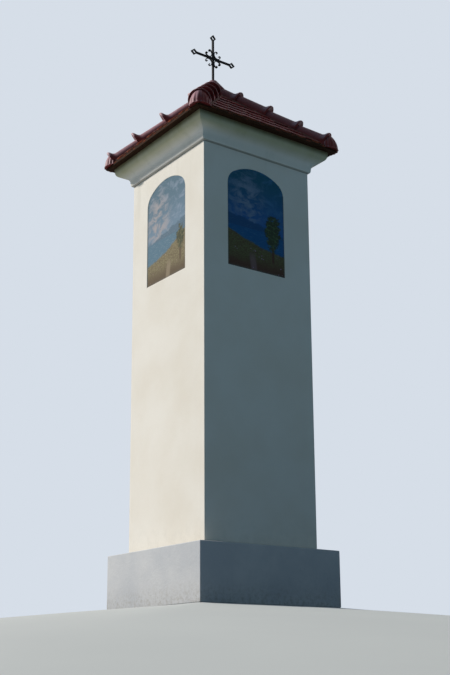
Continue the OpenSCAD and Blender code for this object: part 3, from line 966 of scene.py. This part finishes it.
class Hip:
    """The line up one corner of the roof, from the eaves to the peak."""

    def __init__(self, corner):
        self.corner = corner
        self.sign_x, self.sign_y = CORNERS[corner]
        self.foot = Vector((self.sign_x * EAVE, self.sign_y * EAVE, EAVE_TOP))
        line = PEAK - self.foot
        self.length = line.length
        self.up = line.normalized()
        self.across = Vector((self.up.y, -self.up.x, 0)).normalized()
        self.out = self.across.cross(self.up)

    def at(self, s, y, z):
        """A point s up the hip, y across it and z above it."""
        return self.foot + s * self.up + y * self.across + z * self.out

    def collar(self, i):
        """Distance up the hip to the rim of collar i."""
        spare = (self.length - SHORTEST_HIP) / 4
        return HIP_START + spare + i * HIP_GAUGE - (HIP_SHORT if i else 0) + COLLAR_SLIP[self.corner]

    def fall(self, hand):
        """How fast the roof falls away on one side of the hip, for each metre across it."""
        faces = [
            (Vector((self.sign_x, 0, 0)), abs(PEAK.x - self.foot.x)),
            (Vector((0, self.sign_y, 0)), abs(PEAK.y - self.foot.y)),
        ]
        level, run = max(faces, key=lambda face: hand * face[0].dot(self.across))
        normal = level * RISE + Vector((0, 0, run))
        return hand * normal.dot(self.across) / normal.dot(self.out)

    def section(self, s, lift, radius, shift=0.0):
        """Ring of points over a tile's back, closed by a chord inside the roof."""
        ring = []
        for k in range(SECTION_POINTS):
            angle = SECTION_SWEEP * (2 * k / (SECTION_POINTS - 1) - 1)
            ring.append(self.at(
                s, shift + radius * math.sin(angle), lift - HIP_SINK + radius * math.cos(angle),
            ))
        return ring


def hip_radius(s):
    """Radius of a hip tile's barrel at a distance uphill from its rim."""
    return HIP_WIDE - (HIP_WIDE - HIP_NARROW) * (s - SHANK) / (HIP_GAUGE + HIP_LAP - SHANK)


def tint_all(bm, share):
    """Gives every point of a clay piece the same share of the darker firing."""
    layer = bm.verts.layers.float.new("tile_tint")
    for vert in bm.verts:
        vert[layer] = share


def mark_rims(bm, rings):
    """Marks the collars' rims, where a highlight is painted on the sunny side, on skins of so many
    rings each.
    """
    layer = bm.verts.layers.float.new("rim_glint")
    for k, vert in enumerate(bm.verts):
        if k // SECTION_POINTS % rings in RIM_RINGS:
            vert[layer] = 1.0


def add_hip_tile(hip, i, chance):
    """A collared round tile, a little out of line with its neighbours."""
    length = HIP_GAUGE + HIP_LAP - (0 if i else HIP_SHORT)
    start = hip.collar(i)
    profile = COLLAR + [(s, 0, hip_radius(s)) for s in (*BARREL_PLACES, length)]
    sway = chance.uniform(-HIP_SWAY, HIP_SWAY)
    flare = FLARE[hip.corner][i]
    foot, head = BEDDED[hip.corner][i]
    bm = bmesh.new()
    add_skin(bm, [
        hip.section(
            start + s, flare * rise + foot + (head - foot) * s / length,
            radius, sway * (1 - s / length),
        )
        for s, rise, radius in profile
    ])
    tint_all(bm, chance.random())
    mark_rims(bm, len(profile))
    name = "%s_hip_tile_%d" % (hip.corner, i + 1)
    add_piece(name, bm, hip_clay, "hip_clay", "hip_tile_%s_%d" % (hip.corner, i + 1))


BEDDING_STEPS = 70
BEDDING_STOP = 0.03
BEDDING_HALF = 0.106
BEDDING_DEPTH = 0.09


def add_bedding(hip, mortar):
    """Mortar that closes the joint between the hip tiles and the stepped courses."""
    start, end = hip.collar(0) + BEDDING_STOP, hip.length - BEDDING_STOP
    rings = []
    for k in range(BEDDING_STEPS + 1):
        s = start + (end - start) * k / BEDDING_STEPS
        i = max(n for n in range(HIP_TILES + 1) if hip.collar(n) <= s)
        radius = hip_radius(max(s - hip.collar(i), SHANK)) if i < HIP_TILES else HIP_WIDE
        ring = [hip.at(s, 0, -BEDDING_DEPTH)]
        for hand in (-1, 1):
            fall = hip.fall(hand)
            rough = 0.006 * noise.noise(Vector((s * 16, hand * 5.0, hip.length * 9)))
            crumbs = 0.003 * noise.noise(Vector((s * 60, hand * 3.0, 1.0)))
            toe = BEDDING_HALF + rough + crumbs
            # from the buried toe up to the tile's flank
            edge = [
                (toe + 0.004, -fall * toe - 0.045),
                (toe, -fall * toe - 0.006),
                (toe - 0.006, -fall * toe + 0.003 + rough),
                (radius - 0.004, -HIP_SINK - 0.002 + rough),
                (radius - 0.020, -HIP_SINK + 0.020),
            ]
            points = [hip.at(s, hand * y, z) for y, z in edge]
            ring += points if hand < 0 else points[::-1]
        rings.append(ring)
    bm = bmesh.new()
    add_skin(bm, rings)
    add_piece(hip.corner + "_hip_bedding", bm, mortar, "hip_clay", smooth=50)


# Shells that close the hips' feet

SHELL = {
    "ribs": 9.0, "groove": 0.0065, "half_width": 0.100, "reach": 0.126, "height": 0.176,
    "lip": 0.006, "fullness": 1.1, "soft": 0.1,
}
SHELL_INSET = 0.127
SHELL_LAP = 0.011
SHELL_TINT = 0.35


def shell_rule():
    """Bends a ball into a ribbed dome with a turned-out foot, its lower half flat."""
    rule = Rule("shell_rule", SHELL)
    ball = rule.node("GeometryNodeMeshUVSphere", {}, {
        "Segments": 180, "Rings": 32, "Radius": 1.0,
    })
    x, y, z = rule.split(rule.node("GeometryNodeInputPosition", {}, {}))
    level = (x * x + y * y).most(0.0) ** 0.5
    angle = x.math("ARCTAN2", y, x)
    upper = z.over(-0.001)
    up = z.most(0.0) ** rule["fullness"]
    ahead, aside = angle.cosine() / rule["reach"], angle.sine() / rule["half_width"]
    outline = 1 / (ahead * ahead + aside * aside) ** 0.5
    wave = (angle * rule["ribs"]).cosine()
    ridge = (wave * wave + rule["soft"] * rule["soft"]) ** 0.5
    rib = outline - rule["groove"] * (1 - ridge) * (1 - up)
    foot = 2 * rule["lip"]
    radius = upper * rib * level ** rule["fullness"] + (1 - upper) * (rib + rule["lip"]) * level
    height = upper * (foot + (rule["height"] - foot) * up)
    bent = rule.node("GeometryNodeSetPosition", {}, {
        "Geometry": ball,
        "Position": rule.point(radius * angle.cosine(), radius * angle.sine(), height),
    })
    rule.close(bent)
    return rule


def add_shells(hips):
    """Closes each hip's foot with a shell, cut off where the first collar covers it."""
    rule = shell_rule()
    for hip in hips:
        mesh = rule.make(bpy.data.meshes.new("nothing"), dict(SHELL, clay=hip_clay.material))
        bm = bmesh.new()
        bm.from_mesh(mesh)
        bmesh.ops.remove_doubles(bm, verts=bm.verts, dist=1e-6)
        heading = math.atan2(hip.sign_y, hip.sign_x)
        corner = Vector((hip.foot.x, hip.foot.y, TILE_FOOT))
        inward = Vector((-SHELL_INSET * math.cos(heading), -SHELL_INSET * math.sin(heading), 0))
        bm.transform(Matrix.Translation(corner + inward) @ Matrix.Rotation(heading, 4, "Z"))
        trim(bm, hip.at(hip.collar(0) + SHELL_LAP, 0, 0), hip.up)
        tint_all(bm, SHELL_TINT)
        name, node = hip.corner + "_shell", "hip_shell_" + hip.corner
        add_piece(name, bm, hip_clay, "hip_clay", node, smooth=60)


# Cap on the peak

# radius of the cone and height under its top
CAP_PROFILE = [
    (0.1220, -0.149), (0.1225, -0.113), (0.1205, -0.104), (0.0800, -0.0535), (0.0415, -0.0065),
    (0.0385, -0.0025), (0.0340, -0.0005), (0.0150, 0.0),
]
CAP_POINTS = 72
CAP_TINT = 0.6
ARM_PLACES = (0.12, 0.17)


def add_cap(hips):
    """Four collared arms that run up into a flat-topped cone."""
    bm = bmesh.new()
    for hip in hips:
        start = hip.collar(HIP_TILES)
        arm = COLLAR + [(s, 0, HIP_WIDE) for s in (*ARM_PLACES, hip.length - start)]
        flare = FLARE[hip.corner][HIP_TILES]
        add_skin(bm, [hip.section(start + s, flare * rise, radius) for s, rise, radius in arm])
    mark_rims(bm, len(arm))
    angles = [2 * math.pi * k / CAP_POINTS for k in range(CAP_POINTS)]
    add_skin(bm, [
        [Vector((PEAK.x + r * math.cos(a), PEAK.y + r * math.sin(a), cap_high.z + z)) for a in angles]
        for r, z in CAP_PROFILE
    ])
    tint_all(bm, CAP_TINT)
    add_piece("clay_cap", bm, hip_clay, "hip_clay", "peak_cap")


hips = [Hip(corner) for corner in CORNERS]
chance = random.Random(17)
mortar = bedding()
for hip in hips:
    for i in range(HIP_TILES):
        add_hip_tile(hip, i, chance)
    add_bedding(hip, mortar)
add_shells(hips)
add_cap(hips)


# Iron cross

IRON_ARRIS = 0.0007
IRON_SWELL = 0.0016

iron = black_iron()
for part in ("shaft", "bar", "scrolls", "end_top", "end_left", "end_right"):
    node = "cross_" + part
    add_softened("forged_" + node, node, IRON_ARRIS, iron, "iron", swell=IRON_SWELL)


# Light, background and floor

def make_lamp(name, heading, rise, strength, softness, colour):
    """A far lamp that shines towards the shrine. Heading 0 stands in front and 90 to the left."""
    data = bpy.data.lights.new(name, "SUN")
    data.energy = strength
    data.angle = math.radians(softness)
    data.color = colour
    lamp = bpy.data.objects.new(name, data)
    a, e = math.radians(heading), math.radians(rise)
    source = Vector((-math.sin(a) * math.cos(e), -math.cos(a) * math.cos(e), math.sin(e)))
    lamp.rotation_mode = "QUATERNION"
    lamp.rotation_quaternion = source.to_track_quat("Z", "Y")
    bpy.context.collection.objects.link(lamp)


def looked_at(nodes):
    """1 for rays that show a thing to the camera, also in a reflection, and 0 for the rest."""
    camera, glossy, through = (
        nodes.node("ShaderNodeLightPath", {}, {}, ray)
        for ray in ("Is Camera Ray", "Is Glossy Ray", "Is Transmission Ray")
    )
    return camera.most(glossy).most(through)


def make_world(light, background):
    """Even light from all round, with a pale background where the camera or a reflection sees it."""
    world = bpy.data.worlds.new("studio")
    world.use_nodes = True
    studio = Nodes(world.node_tree)
    colour = studio.mix(looked_at(studio), light, background)
    shade = studio.node("ShaderNodeBackground", {}, {"Color": colour})
    output = studio.tree.nodes.new("ShaderNodeOutputWorld")
    studio.feed(output.inputs["Surface"], shade)
    bpy.context.scene.world = world


FLOOR_REACH = 30.0
# fall for each metre, its growth, and the distance past which it eases off
FLOOR_FALL, FLOOR_BEND, FLOOR_EASE = 0.085, 0.006, 13.0
FLOOR_RINGS, FLOOR_STEPS, FLOOR_SPREAD = 60, 144, 2.2


def make_floor():
    """A pale round floor that falls away from the plinth, because the camera stands lower."""
    bm = bmesh.new()
    rings = []
    for k in range(FLOOR_RINGS + 1):
        share = k / FLOOR_RINGS
        out = FLOOR_REACH * share ** FLOOR_SPREAD
        eased = FLOOR_EASE * math.tanh(out / FLOOR_EASE)
        z = -FLOOR_FALL * eased - FLOOR_BEND * eased ** 2
        ring = []
        for step in range(FLOOR_STEPS):
            a = 2 * math.pi * (step + 0.5) / FLOOR_STEPS
            way = Vector((math.cos(a), math.sin(a)))
            square = PLINTH_HALF / max(abs(way.x), abs(way.y))
            foot = square * (1 - share) + PLINTH_HALF * share
            ring.append(bm.verts.new((*(way * (foot + out)), z)))
        rings.append(ring)
    bm.faces.new(rings[0])
    for inner, outer in zip(rings, rings[1:]):
        for step in range(FLOOR_STEPS):
            after = (step + 1) % FLOOR_STEPS
            bm.faces.new((inner[step], outer[step], outer[after], inner[after]))
    mesh = bpy.data.meshes.new("floor")
    bm.to_mesh(mesh)
    bm.free()
    mesh.shade_smooth()
    floor = bpy.data.objects.new("floor", mesh)
    bpy.context.collection.objects.link(floor)
    pale = Finish("floor", Roughness=0.9)
    shown = pale.mix(pale.noise(0.8, 3), srgb(206, 208, 205), srgb(198, 200, 198))
    sunny_side = pale.x.step(-0.3, -2.0) * pale.y.step(-2.0, 0.0)
    out = (pale.x * pale.x + pale.y * pale.y) ** 0.5
    shady = pale.mix(out.step(1.5, 6.0), srgb(40, 58, 72), srgb(106, 134, 150))
    lit = pale.mix(sunny_side, shady, srgb(208, 213, 218))
    pale.colour(pale.mix(looked_at(pale), lit, shown))
    wear(pale, floor)


make_lamp("key", heading=140, rise=34, strength=3.95, softness=3, colour=(1.0, 0.95, 0.89))
make_world(light=(0.080, 0.135, 0.185, 1), background=srgb(214, 222, 232))
make_floor()

bpy.context.scene.view_settings.view_transform = "Standard"
